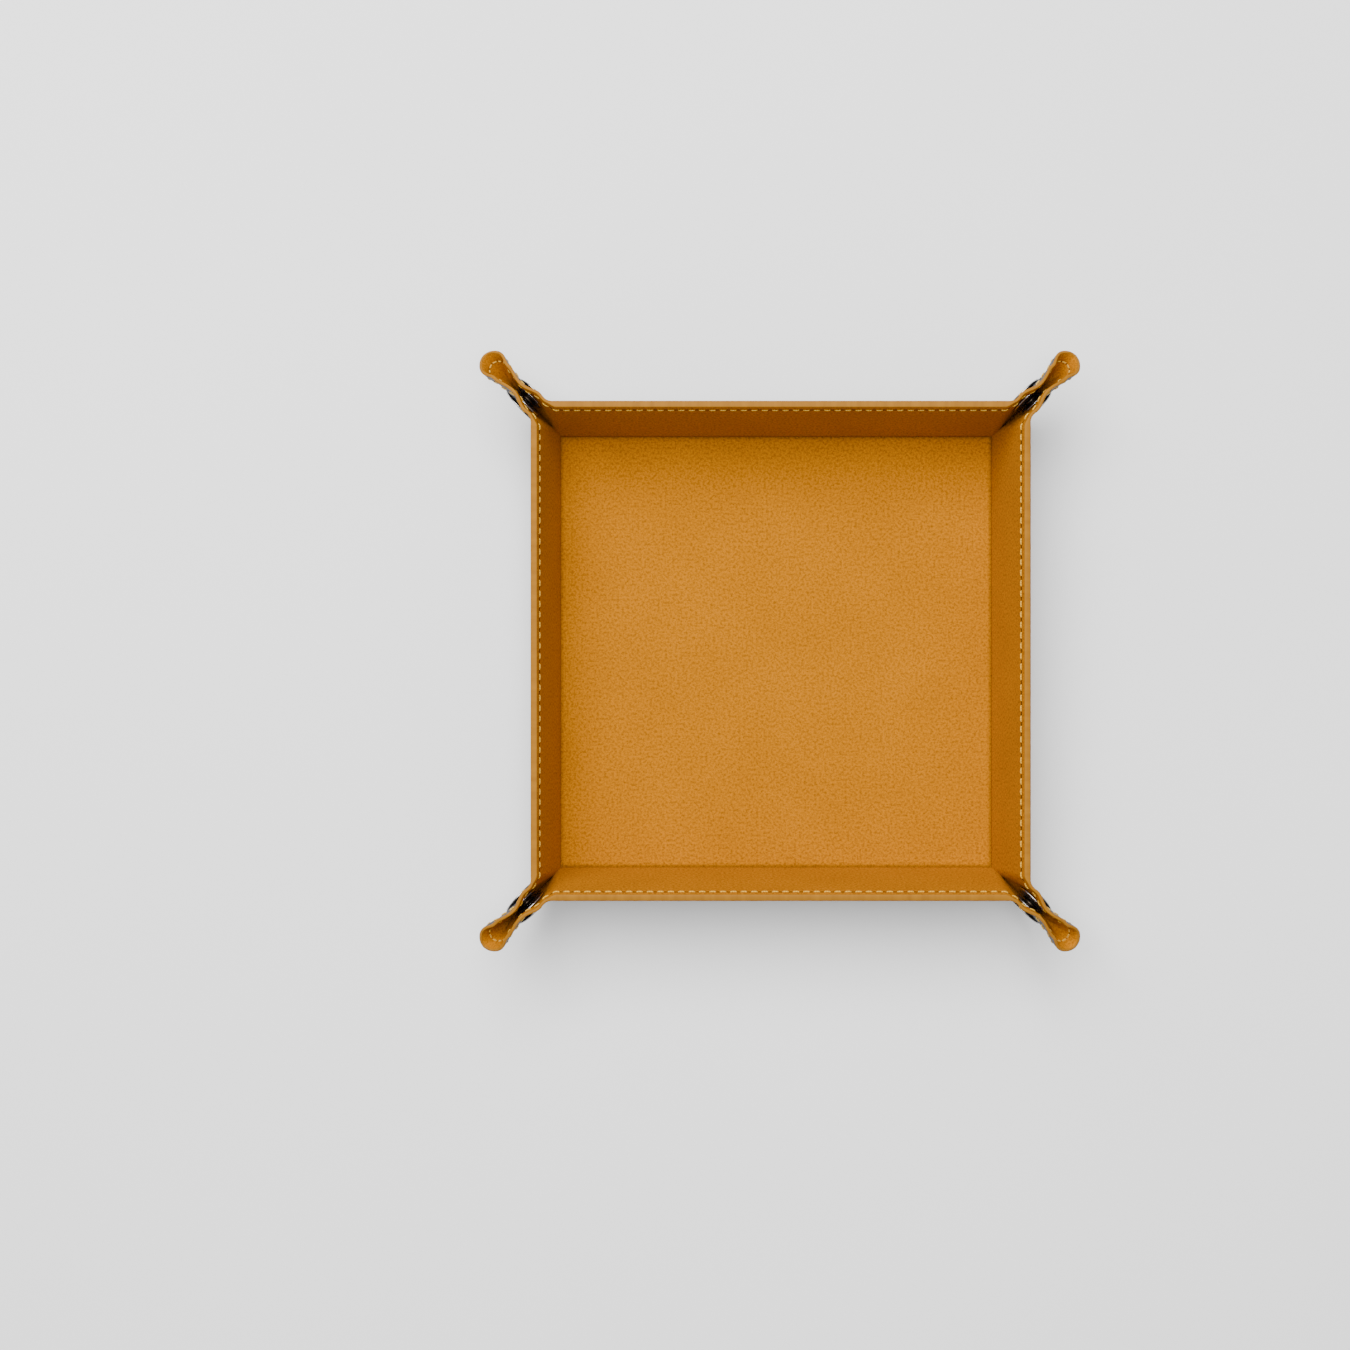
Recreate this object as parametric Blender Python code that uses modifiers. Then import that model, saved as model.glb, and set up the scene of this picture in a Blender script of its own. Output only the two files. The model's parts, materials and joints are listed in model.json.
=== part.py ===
"""A square folding dice tray with four corners that snap into ears, standing assembled.

Each piece is drawn in the flat, unfolded tray and then turned about its fold lines: a wall about the edge
of the floor, a gusset about the end of its wall, and the ear flap about a crease that runs out from the
floor's corner. Metres, +Z up, origin at the centre of the underside, +Y at the back.
"""

import math

import bpy

# Flat pattern
FLOOR_HALF = 0.0668  # centre of the floor to a fold line
FLANGE = 0.0357  # fold line to the cut edge
CORNER_RADIUS = 0.0266  # of the unfolded sheet's corners

# Layers, from the outside in
LEATHER = 0.0005
BOARD = 0.0009
LINING = 0.0005
LAYER_GAP = 0.0001
BOARD_TOP = LEATHER + LAYER_GAP + BOARD
LINED_TOP = BOARD_TOP + LAYER_GAP + LINING
HINGE_HEIGHT = LEATHER / 2  # the leather folds, and the boards stop short of each fold

# Clearances
FOLD_GAP = 0.0003  # leather to a fold line
BOARD_SETBACK = 0.002  # boards and lining to a floor fold line
WALL_END_SETBACK = 0.0015  # boards and lining to a wall's end
BOARD_MARGIN = 0.0004  # board to the cut edge

# Folds, in degrees, from flat to assembled
WALL_FOLD = 81.0
GUSSET_FOLD = 42.2
EAR_FOLD = 80.16
EAR_AXIS = 42.43  # from the wall's end to the ear's crease
EAR_BEND_START = 29.0
EAR_BEND_END = 46.0
DIAGONAL = 45.0

# Gusset and ear outlines
GUSSET_EDGE = 33.0  # the ray where the flat gusset ends
GUSSET_INNER = 0.0045  # the leather's inner end, and then the lining's, which faces its partner closely
GUSSET_LINING_INNER = 0.0122
EAR_EDGE = 37.5
EAR_INNER = 0.019
EAR_TRIM = 0.0015  # ear to the diagonal that it shares with its partner

# Press studs
SNAP_RADIUS = 0.0244  # floor corner to the middle of a snap
SNAP_ANGLE = 20.0
SNAP_HOLE = 0.0019
BARREL = 0.0015
CAP_RADIUS = 0.006
SOCKET_RADIUS = 0.00565
SOCKET_MOUTH = 0.00265
STUD_RADIUS = 0.00455
STUD_BALL = 0.00165
SPRING_RADIUS = 0.00225
SPRING_WIRE = 0.0002
TURNED_STEPS = 16

VELVET_TOP = LEATHER / 2 + LAYER_GAP + LINING  # of a gusset, above its hinge plane
SNAP_BASE = VELVET_TOP + LAYER_GAP
CAP_TOP = -LEATHER / 2 - LAYER_GAP

MATERIALS = {
    "leather": ((0.045, 0.042, 0.046), 0.55, 0.0),
    "board": ((0.42, 0.36, 0.28), 0.85, 0.0),
    "velvet": ((0.68, 0.31, 0.018), 0.9, 0.0),
    "nickel": ((0.72, 0.71, 0.69), 0.22, 1.0),
    "spring_steel": ((0.45, 0.44, 0.43), 0.3, 1.0),
}
WALLS = ("right", "back", "left", "front")
CORNERS = ("back_right", "back_left", "front_left", "front_right")
PARTS = "folding_dice_tray"


def clear_scene():
    for old in list(bpy.data.objects):
        bpy.data.objects.remove(old, do_unlink=True)
    collection = bpy.data.collections.new(PARTS)
    bpy.context.scene.collection.children.link(collection)
    return collection


def make_materials():
    made = {}
    for name, (colour, roughness, metallic) in MATERIALS.items():
        material = bpy.data.materials.new(name)
        material.use_nodes = True
        shader = material.node_tree.nodes["Principled BSDF"]
        shader.inputs["Base Color"].default_value = (*colour, 1.0)
        shader.inputs["Roughness"].default_value = roughness
        shader.inputs["Metallic"].default_value = metallic
        made[name] = material
    return made


def add_object(name, data, parent, material, location=(0.0, 0.0, 0.0)):
    made = bpy.data.objects.new(name, data)
    data.materials.append(materials[material])
    tray.objects.link(made)
    made.parent = parent
    made.location = location
    return made


def add_hinge(name, parent, location, rotation):
    """An empty on a joint's axis, whose children fold with it."""
    hinge = bpy.data.objects.new(name, None)
    hinge.empty_display_size = 0.01
    tray.objects.link(hinge)
    hinge.parent = parent
    hinge.location = location
    hinge.rotation_euler = rotation
    return hinge


def add_sheet(name, outline, low, high, parent, material, hole=None):
    """A flat outline from height low to height high, with a round hole where one is given as (x, y, radius)."""
    curve = bpy.data.curves.new(name, "CURVE")
    curve.dimensions = "2D"
    curve.fill_mode = "BOTH"
    curve.extrude = (high - low) / 2
    loops = [outline]
    if hole:
        x, y, radius = hole
        turns = [2 * math.pi * i / TURNED_STEPS for i in range(TURNED_STEPS)]
        loops.append([(x + radius * math.cos(t), y + radius * math.sin(t)) for t in turns])
    for loop in loops:
        spline = curve.splines.new("POLY")
        spline.points.add(len(loop) - 1)
        for point, (px, py) in zip(spline.points, loop):
            point.co = (px, py, 0.0, 1.0)
        spline.use_cyclic_u = True
    return add_object(name, curve, parent, material, (0.0, 0.0, (low + high) / 2))


def add_turned(name, profile, parent, material, location):
    """A solid of revolution from a profile of (radius, height), from its top on the axis round to its bottom."""
    mesh = bpy.data.meshes.new(name)
    points = [(radius, 0.0, height) for radius, height in profile]
    mesh.from_pydata(points, [(i, i + 1) for i in range(len(points) - 1)], [])
    turned = add_object(name, mesh, parent, material, location)
    screw = turned.modifiers.new("turn", "SCREW")
    screw.steps = screw.render_steps = TURNED_STEPS
    screw.use_merge_vertices = True
    screw.merge_threshold = 0.00001
    return turned


def rectangle(low_x, low_y, high_x, high_y):
    return [(low_x, low_y), (high_x, low_y), (high_x, high_y), (low_x, high_y)]


def edge_distance(angle):
    """From the floor's corner to the sheet's cut edge, along a ray this many radians from the wall's end."""
    inner = FLANGE - CORNER_RADIUS
    if FLANGE * math.tan(angle) <= inner:
        return FLANGE / math.cos(angle)
    along = inner * (math.cos(angle) + math.sin(angle))
    return along + math.sqrt(along**2 - 2 * inner**2 + CORNER_RADIUS**2)


def gusset_outline(side, inner):
    """Flat gusset: the wall's end, the straight edge, the rounded corner as far as the ear, and back."""
    steps = 8
    start = math.atan2(FLANGE - CORNER_RADIUS, FLANGE)
    end = math.radians(GUSSET_EDGE)
    outline = [(inner, FOLD_GAP), (FLANGE, FOLD_GAP)]
    for i in range(steps + 1):
        angle = start + (end - start) * i / steps
        reach = edge_distance(angle)
        outline.append((reach * math.cos(angle), reach * math.sin(angle)))
    outline.append((inner, inner * math.tan(end)))
    return [(x, side * y) for x, y in outline]


def bend_share(angle):
    """How much of the ear's fold a ray has taken, from 0 at the bend's start to 1 at its end."""
    share = (math.degrees(angle) - EAR_BEND_START) / (EAR_BEND_END - EAR_BEND_START)
    share = min(max(share, 0.0), 1.0)
    return share * share * (3 - 2 * share)


def add_ear(name, side, parent):
    """The ear's bent flap, in the frame of its crease: X runs out along the crease."""
    columns, rows = 5, 4
    middle = (VELVET_TOP - LEATHER / 2) / 2
    points, faces = [], []
    for row in range(rows):
        for column in range(columns):
            near = EAR_INNER + 0.0004 * column
            share = row / (rows - 1)
            radius = near + (edge_distance(math.radians(DIAGONAL)) - near) * share
            last = math.radians(DIAGONAL) - EAR_TRIM / radius
            angle = math.radians(EAR_EDGE) + (last - math.radians(EAR_EDGE)) * column / (columns - 1)
            radius = min(radius, edge_distance(angle))
            off = angle - math.radians(EAR_AXIS)
            along, across = radius * math.cos(off), radius * math.sin(off)
            turn = (bend_share(angle) - 1) * math.radians(EAR_FOLD)
            out = across * math.cos(turn) - middle * math.sin(turn)
            up = across * math.sin(turn) + middle * math.cos(turn)
            points.append((along, side * out, up))
    for row in range(rows - 1):
        for column in range(columns - 1):
            first = row * columns + column
            face = [first, first + columns, first + columns + 1, first + 1]
            faces.append(face if side > 0 else face[::-1])
    mesh = bpy.data.meshes.new(name)
    mesh.from_pydata(points, [], faces)
    ear = add_object(name, mesh, parent, "velvet")
    solidify = ear.modifiers.new("thickness", "SOLIDIFY")
    solidify.thickness = LEATHER + LAYER_GAP + LINING
    solidify.offset = 0.0


def add_cap(name, parent, place):
    """The snap's outer cap, with the barrel that goes through the sheet."""
    profile = [
        (0.0, SNAP_BASE - LAYER_GAP),
        (BARREL, SNAP_BASE - LAYER_GAP),
        (BARREL, CAP_TOP),
        (CAP_RADIUS, CAP_TOP),
        (CAP_RADIUS, CAP_TOP - 0.0004),
        (0.75 * CAP_RADIUS, CAP_TOP - 0.0007),
        (0.0, CAP_TOP - 0.0008),
    ]
    add_turned(name, profile, parent, "nickel", place)


def add_socket(name, parent, place):
    """The snap's socket: a shallow cup with a rolled rim."""
    profile = [
        (0.0, SNAP_BASE + 0.0003),
        (SOCKET_MOUTH, SNAP_BASE + 0.0003),
        (SOCKET_MOUTH, SNAP_BASE + 0.00075),
        (0.0033, SNAP_BASE + 0.00085),
        (0.0042, SNAP_BASE + 0.0006),
        (SOCKET_RADIUS, SNAP_BASE + 0.0003),
        (SOCKET_RADIUS, SNAP_BASE),
        (0.0, SNAP_BASE),
    ]
    add_turned(name, profile, parent, "nickel", place)


def add_spring(name, parent, place):
    """The open wire ring inside the socket, which grips the stud's ball."""
    points = 14
    opening = math.radians(40)
    curve = bpy.data.curves.new(name, "CURVE")
    curve.dimensions = "3D"
    curve.bevel_depth = SPRING_WIRE
    curve.bevel_resolution = 1
    curve.use_fill_caps = True
    spline = curve.splines.new("POLY")
    spline.points.add(points - 1)
    for i, point in enumerate(spline.points):
        turn = opening / 2 + (2 * math.pi - opening) * i / (points - 1)
        point.co = (SPRING_RADIUS * math.cos(turn), SPRING_RADIUS * math.sin(turn), 0.0, 1.0)
    x, y, _ = place
    add_object(name, curve, parent, "spring_steel", (x, y, SNAP_BASE + 0.00056))


def add_stud(name, parent, place):
    """The snap's stud: a flange, a dished ring and a ball on a neck."""
    profile = [
        (0.0, SNAP_BASE + 0.00155),
        (0.7 * STUD_BALL, SNAP_BASE + 0.0015),
        (STUD_BALL, SNAP_BASE + 0.00115),
        (0.75 * STUD_BALL, SNAP_BASE + 0.0007),
        (0.75 * STUD_BALL, SNAP_BASE + 0.00025),
        (0.0028, SNAP_BASE + 0.0004),
        (STUD_RADIUS, SNAP_BASE + 0.0003),
        (STUD_RADIUS, SNAP_BASE),
        (0.0, SNAP_BASE),
    ]
    add_turned(name, profile, parent, "nickel", place)


def add_floor():
    edge = FLOOR_HALF - FOLD_GAP
    inner = FLOOR_HALF - BOARD_SETBACK
    add_sheet("base_leather", rectangle(-edge, -edge, edge, edge), 0.0, LEATHER, None, "leather")
    square = rectangle(-inner, -inner, inner, inner)
    add_sheet("base_board", square, LEATHER + LAYER_GAP, BOARD_TOP, None, "board")
    add_sheet("base_lining", square, BOARD_TOP + LAYER_GAP, LINED_TOP, None, "velvet")


def add_wall(name, quarter):
    """One wall, drawn flat with X running out from its fold line, and its hinge."""
    turn = quarter * math.pi / 2
    place = (FLOOR_HALF * math.cos(turn), FLOOR_HALF * math.sin(turn), HINGE_HEIGHT)
    hinge = add_hinge(f"{name}_wall_hinge", None, place, (0.0, -math.radians(WALL_FOLD), turn))
    end = FLOOR_HALF - FOLD_GAP
    boarded = FLOOR_HALF - WALL_END_SETBACK
    leather = rectangle(FOLD_GAP, -end, FLANGE, end)
    add_sheet(f"{name}_wall_leather", leather, -HINGE_HEIGHT, HINGE_HEIGHT, hinge, "leather")
    board = rectangle(BOARD_SETBACK, -boarded, FLANGE - BOARD_MARGIN, boarded)
    low, high = HINGE_HEIGHT + LAYER_GAP, BOARD_TOP - HINGE_HEIGHT
    add_sheet(f"{name}_wall_board", board, low, high, hinge, "board")
    lining = rectangle(BOARD_SETBACK, -boarded, FLANGE, boarded)
    low, high = high + LAYER_GAP, LINED_TOP - HINGE_HEIGHT
    add_sheet(f"{name}_wall_lining", lining, low, high, hinge, "velvet")
    return hinge


def add_gusset(corner, half, side, wall_hinge):
    """One half of a corner: its gusset sheets, its half of the snap, and its half of the ear."""
    place = (0.0, side * FLOOR_HALF, 0.0)
    fold = (-side * math.radians(GUSSET_FOLD), 0.0, 0.0)
    hinge = add_hinge(f"{corner}_{half}_gusset_hinge", wall_hinge, place, fold)
    angle = math.radians(SNAP_ANGLE)
    snap = (SNAP_RADIUS * math.cos(angle), side * SNAP_RADIUS * math.sin(angle), 0.0)
    hole = (snap[0], snap[1], SNAP_HOLE)
    leather = gusset_outline(side, GUSSET_INNER)
    top = LEATHER / 2
    add_sheet(f"{corner}_{half}_gusset_leather", leather, -top, top, hinge, "leather", hole)
    lining = gusset_outline(side, GUSSET_LINING_INNER)
    low = top + LAYER_GAP
    add_sheet(f"{corner}_{half}_gusset_lining", lining, low, VELVET_TOP, hinge, "velvet", hole)
    add_cap(f"{corner}_{half}_cap", hinge, snap)
    if half == "socket":
        add_socket(f"{corner}_socket", hinge, snap)
        add_spring(f"{corner}_socket_spring", hinge, snap)
    else:
        add_stud(f"{corner}_stud", hinge, snap)
    turn = (side * math.radians(EAR_FOLD), 0.0, side * math.radians(EAR_AXIS))
    crease = add_hinge(f"{corner}_{half}_ear_hinge", hinge, (0.0, 0.0, 0.0), turn)
    add_ear(f"{corner}_{half}_ear", side, crease)


tray = clear_scene()
materials = make_materials()
add_floor()
for number, wall in enumerate(WALLS):
    wall_fold = add_wall(wall, number)
    add_gusset(CORNERS[number], "stud", 1, wall_fold)
    add_gusset(CORNERS[number - 1], "socket", -1, wall_fold)
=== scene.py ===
"""Looks of the folding dice tray: velvet, leather, painted edges, stitching and press studs.

Every sheet is drawn in the unfolded tray's flat pattern and folded by the frame's own joints into the
assembled tray, with a slight curl of the ears. In a wall's pattern, `out`
runs from its fold line to the cut edge, `past` runs beyond the wall's end, and `up` is the height over the
leather's middle, velvet side up.
"""

import json
import math

import bpy
import numpy as np
from mathutils import Matrix, Vector, noise


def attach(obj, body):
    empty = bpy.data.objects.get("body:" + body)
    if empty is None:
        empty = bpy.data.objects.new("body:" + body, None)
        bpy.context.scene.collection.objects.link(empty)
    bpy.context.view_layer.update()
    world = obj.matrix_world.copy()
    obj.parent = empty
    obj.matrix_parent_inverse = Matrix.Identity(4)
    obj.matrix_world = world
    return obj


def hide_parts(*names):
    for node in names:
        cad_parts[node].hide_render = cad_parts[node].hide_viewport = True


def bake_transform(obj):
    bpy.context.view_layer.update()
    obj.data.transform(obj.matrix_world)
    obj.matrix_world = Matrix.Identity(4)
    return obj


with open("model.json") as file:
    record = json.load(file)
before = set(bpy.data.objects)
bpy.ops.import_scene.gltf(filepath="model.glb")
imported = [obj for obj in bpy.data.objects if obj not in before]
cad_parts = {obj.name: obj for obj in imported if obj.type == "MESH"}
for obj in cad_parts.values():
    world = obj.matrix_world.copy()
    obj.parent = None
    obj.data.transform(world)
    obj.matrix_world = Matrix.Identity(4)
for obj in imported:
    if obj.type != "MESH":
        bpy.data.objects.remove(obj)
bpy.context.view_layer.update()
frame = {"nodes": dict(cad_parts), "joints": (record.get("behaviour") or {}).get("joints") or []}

MM = 0.001
JOINTS = {joint["name"]: joint for joint in frame["joints"]}
WALLS = ("right", "back", "left", "front")
CORNERS = ("back_right", "back_left", "front_left", "front_right")


def fold_range(name):
    return math.radians(JOINTS[name]["range_deg"][1])


def crease_angle():
    """From a wall's end to the ear's crease, seen in the flat gusset."""
    gusset = Vector(JOINTS["back_right_stud_gusset_fold"]["axis"])
    ear = Vector(JOINTS["back_right_stud_ear_fold"]["axis"])
    return gusset.angle(-ear)


# From the frame
FLOOR_HALF = JOINTS["right_wall_fold"]["pos_m"][0]
HINGE = JOINTS["right_wall_fold"]["pos_m"][2]
WALL_FOLD = fold_range("right_wall_fold")
GUSSET_FOLD = fold_range("back_right_stud_gusset_fold")
EAR_FOLD = fold_range("back_right_stud_ear_fold")
CREASE = crease_angle()

# The flat pattern, as in the CAD
FLANGE = 35.7 * MM
CORNER_RADIUS = 26.6 * MM
WALL_END = -1.5 * MM  # where the boarded wall stops, against its end fold
EAR_SEAM = math.radians(26)
BEND_START, SNAP_BEND_START = 26, 33  # degrees from the wall's end, at the rim and beside the snap
BEND_AT_DIAGONAL = 0.942  # of the smooth step, so that the two halves of an ear meet squarely
DIAGONAL = math.radians(45)
SNAP = np.array([math.cos(math.radians(20)), math.sin(math.radians(20))]) * 24.4 * MM

# How the snapped corner's rim bends: angles and spreads in degrees from the wall's end, curls in millimetres
NECK_ANGLE, NECK_SPREAD, NECK_SHARE = 14, 12, 0.24
SHOULDER_ANGLE, SHOULDER_SPREAD, SHOULDER_CURL = 38, 8, 1.2
TIP_ANGLE, TIP_SPREAD, TIP_CURL = 45, 18, 2.4
CROWDED = 9 * MM  # how far from the floor's corner the ear has no room for its layers

# Heights over the leather's middle
LEATHER_FACE = -0.25 * MM
SOFT_TOP = 0.85 * MM  # velvet where there is no board
BOARD_RISE = 1.0 * MM
CLOTH = 0.5 * MM
SNAP_SEAT = 0.95 * MM  # the face that a snap's flange rests on
CAP_SEAT = -0.35 * MM

# How far the faces sink, and over what distance
RIM_DROP, RIM_WIDTH = 0.16 * MM, 0.9 * MM  # where the velvet rounds over at the cut edge
VELVET_PULL, VELVET_PULL_WIDTH = 0.14 * MM, 0.45 * MM  # along the stitches
LEATHER_PULL, LEATHER_PULL_WIDTH = 0.1 * MM, 0.5 * MM
SEAT_DROP = 0.2 * MM  # under a snap's flange

# Stitching
STITCH_INSET = 2.7 * MM
STITCH_INSET_CORNER = 3.5 * MM
STITCH_PITCH = 3.0 * MM
STITCH_LENGTH = 2.25 * MM
THREAD = 0.24 * MM
HOLE_LENGTH, HOLE_WIDTH = 0.44 * MM, 0.36 * MM  # half sizes of a needle hole beside a board


def smooth(share):
    share = np.clip(share, 0.0, 1.0)
    return share * share * (3 - 2 * share)


def edge_distance(angle):
    """From the floor's corner to the cut edge, along rays this many radians from the wall's end."""
    inner = FLANGE - CORNER_RADIUS
    straight = FLANGE / np.cos(angle)
    along = inner * (np.cos(angle) + np.sin(angle))
    rounded = along + np.sqrt(np.maximum(along**2 - 2 * inner**2 + CORNER_RADIUS**2, 0))
    return np.where(FLANGE * np.tan(angle) <= inner, straight, rounded)


def wall_share(out):
    return smooth(out / (2 * MM))


def polar(out, past):
    """Angle in degrees from the wall's end, and distance in millimetres from the floor's corner."""
    angle = np.degrees(np.arctan2(np.maximum(past, 0), np.maximum(out, 1e-9)))
    return angle, np.hypot(out, past) / MM


def around(angle, middle, spread):
    """1 at the middle angle, falling to 0 this far to either side."""
    return smooth(1 - np.abs(angle - middle) / spread)


def gusset_share(out, past):
    """Full past the wall's end, but less at the rim above the snap, which stays nearer to its partner."""
    angle, radius = polar(out, past)
    neck = NECK_SHARE * around(angle, NECK_ANGLE, NECK_SPREAD) * smooth((radius - 26) / 11)
    bend = np.maximum(out, 0) * math.tan(math.radians(8)) - WALL_END
    return (1 - neck) * smooth((past - WALL_END) / bend)


def ear_share(out, past):
    angle, radius = polar(out, past)
    start = BEND_START + (SNAP_BEND_START - BEND_START) * smooth((36 - radius) / 10)
    return smooth(BEND_AT_DIAGONAL * (angle - start) / (TIP_ANGLE - start))


def fold_share(kind, out, past):
    """How far each flat point goes from its region's first body to its second."""
    if kind == "wall":
        return wall_share(out)
    return gusset_share(out, past) if kind == "gusset" else ear_share(out, past)


def turned(first, second, angle):
    """The pair of coordinates, turned from the first axis towards the second."""
    c, s = np.cos(angle), np.sin(angle)
    return first * c - second * s, first * s + second * c


def fold(points, quarter, side, corner=True):
    """Flat (out, past, up) points of one wall's pattern, as they lie in the assembled tray."""
    out, past, up = points.T
    wall = 1.0 if corner else wall_share(out)
    if corner:
        along = out * math.cos(CREASE) + past * math.sin(CREASE)
        across = past * math.cos(CREASE) - out * math.sin(CREASE)
        across, up = turned(across, up, ear_share(out, past) * EAR_FOLD)
        gusset = gusset_share(out, past)
        out = along * math.cos(CREASE) - across * math.sin(CREASE)
        past = along * math.sin(CREASE) + across * math.cos(CREASE)
        past, up = turned(past, up, -gusset * GUSSET_FOLD)
    out, up = turned(out, up, wall * WALL_FOLD)
    x, y = FLOOR_HALF + out, side * (FLOOR_HALF + past)
    x, y = turned(x, y, quarter * math.pi / 2)
    return np.stack([x, y, HINGE + up], axis=1)


def boarded(out, past):
    """1 on the boards, falling to 0 in the soft creases beside them."""
    return smooth((out / MM - 0.5) / 2.0) * smooth((1.0 - past / MM) / 2.5)


def curl(out, past):
    """How far the ear's shoulders and tip curl in."""
    angle, radius = polar(out, past)
    shoulder = SHOULDER_CURL * around(angle, SHOULDER_ANGLE, SHOULDER_SPREAD) * smooth((radius - 14) / 24)
    tip = TIP_CURL * smooth(1 - (TIP_ANGLE - angle) / TIP_SPREAD) * smooth((radius - 12) / 26)
    return (shoulder + tip) * MM


def pinched(out, past, up):
    """Presses the layers onto the leather's face at the floor's corner, where the ear has no room."""
    crowded = (1 - smooth(np.hypot(out, past) / CROWDED)) * smooth((past - WALL_END) / (3 * MM))
    return LEATHER_FACE + (up - LEATHER_FACE) * (1 - 0.97 * crowded)


def velvet_top(out, past, to_edge):
    """Height of the velvet, with its soft rim, the pull of the stitches and the seat of the snap."""
    top = SOFT_TOP + BOARD_RISE * boarded(out, past)
    top = top - RIM_DROP * (1 - smooth(to_edge / RIM_WIDTH))
    inset = stitch_inset(out, past)
    top = top - VELVET_PULL * np.exp(-(((to_edge - inset) / VELVET_PULL_WIDTH) ** 2))
    seat = np.hypot(out - SNAP[0], past - SNAP[1])
    top = top - SEAT_DROP * (1 - smooth((seat / MM - 5.4) / 2.2))
    return top


def stitch_inset(out, past):
    angle = np.arctan2(np.maximum(past, 0), np.maximum(out, 1e-9))
    turn = smooth((angle - math.radians(12)) / math.radians(12))
    return STITCH_INSET + (STITCH_INSET_CORNER - STITCH_INSET) * turn


def leather_groove(aside):
    """How far the thread pulls the leather in, this far to the side of the stitch line."""
    return LEATHER_PULL * np.exp(-((aside / LEATHER_PULL_WIDTH) ** 2))


def ripple(x, y, scale, seed):
    """Soft, repeatable unevenness of hand-made cloth, from -1 to 1."""
    return np.array([noise.noise(Vector((a * scale, b * scale, seed))) for a, b in zip(x, y)])


# Meshes


def add_mesh(name, points, faces, material, uv=None, sharp_from=None):
    mesh = bpy.data.meshes.new(name)
    mesh.from_pydata([tuple(p) for p in points], [], faces)
    mesh.materials.append(material)
    mesh.shade_smooth()
    if sharp_from:
        mesh.set_sharp_from_angle(angle=math.radians(sharp_from))
    if uv is not None:
        layer = mesh.uv_layers.new(name="flat")
        index = np.zeros(len(mesh.loops), np.int32)
        mesh.loops.foreach_get("vertex_index", index)
        layer.data.foreach_set("uv", np.asarray(uv, np.float32)[index].ravel())
    made = bpy.data.objects.new(name, mesh)
    bpy.context.scene.collection.objects.link(made)
    return made


def slab_faces(rows, columns):
    """Faces of a closed slab whose vertices are a top grid and then a bottom grid."""
    step = rows * columns
    faces = []
    for r in range(rows - 1):
        for c in range(columns - 1):
            first = r * columns + c
            quad = [first, first + 1, first + columns + 1, first + columns]
            faces.append(quad)
            faces.append([i + step for i in quad[::-1]])
    rim = list(range(columns)) + [r * columns + columns - 1 for r in range(1, rows)]
    rim += [(rows - 1) * columns + c for c in range(columns - 2, -1, -1)]
    rim += [r * columns for r in range(rows - 2, 0, -1)]
    for here, there in zip(rim, rim[1:] + rim[:1]):
        faces.append([there, here, here + step, there + step])
    return faces


def bent(piece, body_a, body_b, start, end, weights):
    """Bakes the piece's transform into its mesh."""
    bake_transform(piece)


class Region:
    """A patch of the flat pattern on one wall: where its grid points lie, and how they fold."""

    def __init__(self, name, quarter, side, out, past, to_edge, kind):
        self.name, self.quarter, self.side, self.kind = name, quarter, side, kind
        self.rows, self.columns = out.shape
        self.out, self.past, self.to_edge = out.ravel(), past.ravel(), to_edge.ravel()

    def grid(self, values):
        return values.reshape(self.rows, self.columns)

    def lift(self, up):
        """Grid points at height up, folded, with the rim's curl on the corner patches."""
        if self.kind != "wall":
            up = pinched(self.out, self.past, up) + curl(self.out, self.past)
        flat = np.stack([self.out, self.past, up], axis=1)
        return fold(flat, self.quarter, self.side, self.kind != "wall")

    def bodies(self):
        wall = f"{WALLS[self.quarter]}_wall"
        if self.kind == "wall":
            return "base", wall
        half, corner = half_of(self.quarter, self.side)
        gusset = f"{corner}_{half}_gusset"
        return (wall, gusset) if self.kind == "gusset" else (gusset, f"{corner}_{half}_ear_flap")

    def place(self, piece, weights=None):
        """Works out the fold's two ends and a weight for each vertex, or the grid's own for each layer, and
        hands them to bent with the piece.
        """
        if weights is None:
            share = fold_share(self.kind, self.out, self.past)
            weights = np.tile(share, len(piece.data.vertices) // len(self.out))
        ends = {
            "wall": ((0, -FLOOR_HALF, 0), (2 * MM, -FLOOR_HALF, 0)),
            "gusset": ((FLANGE, WALL_END, 0), (FLANGE, 5 * MM, 0)),
            "ear": ((30 * MM, 17 * MM, 0), (25 * MM, 25 * MM, 0)),
        }[self.kind]
        start, end = fold(np.array(ends, float), self.quarter, self.side, self.kind != "wall")
        bent(piece, *self.bodies(), start, end, weights)


def half_of(quarter, side):
    """Which half of which corner a wall's end is: the stud at one end and the socket at the other."""
    return ("stud", CORNERS[quarter]) if side > 0 else ("socket", CORNERS[quarter - 1])


RIM_ROWS = np.array([0, 0.35, 0.9, 1.5, 1.95, 2.3, 2.7, 3.1, 3.5, 4.1, 5.0, 6.2, 7.6]) * MM


def inward_steps(reach, last):
    """Distances from the cut edge to an inner limit: close together at the rim and the stitches."""
    steps = list(RIM_ROWS)
    count = 26
    for i in range(1, count + 1):
        steps.append(steps[len(RIM_ROWS) - 1] + (reach - last - RIM_ROWS[-1]) * i / count)
    return np.array(steps)


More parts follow.
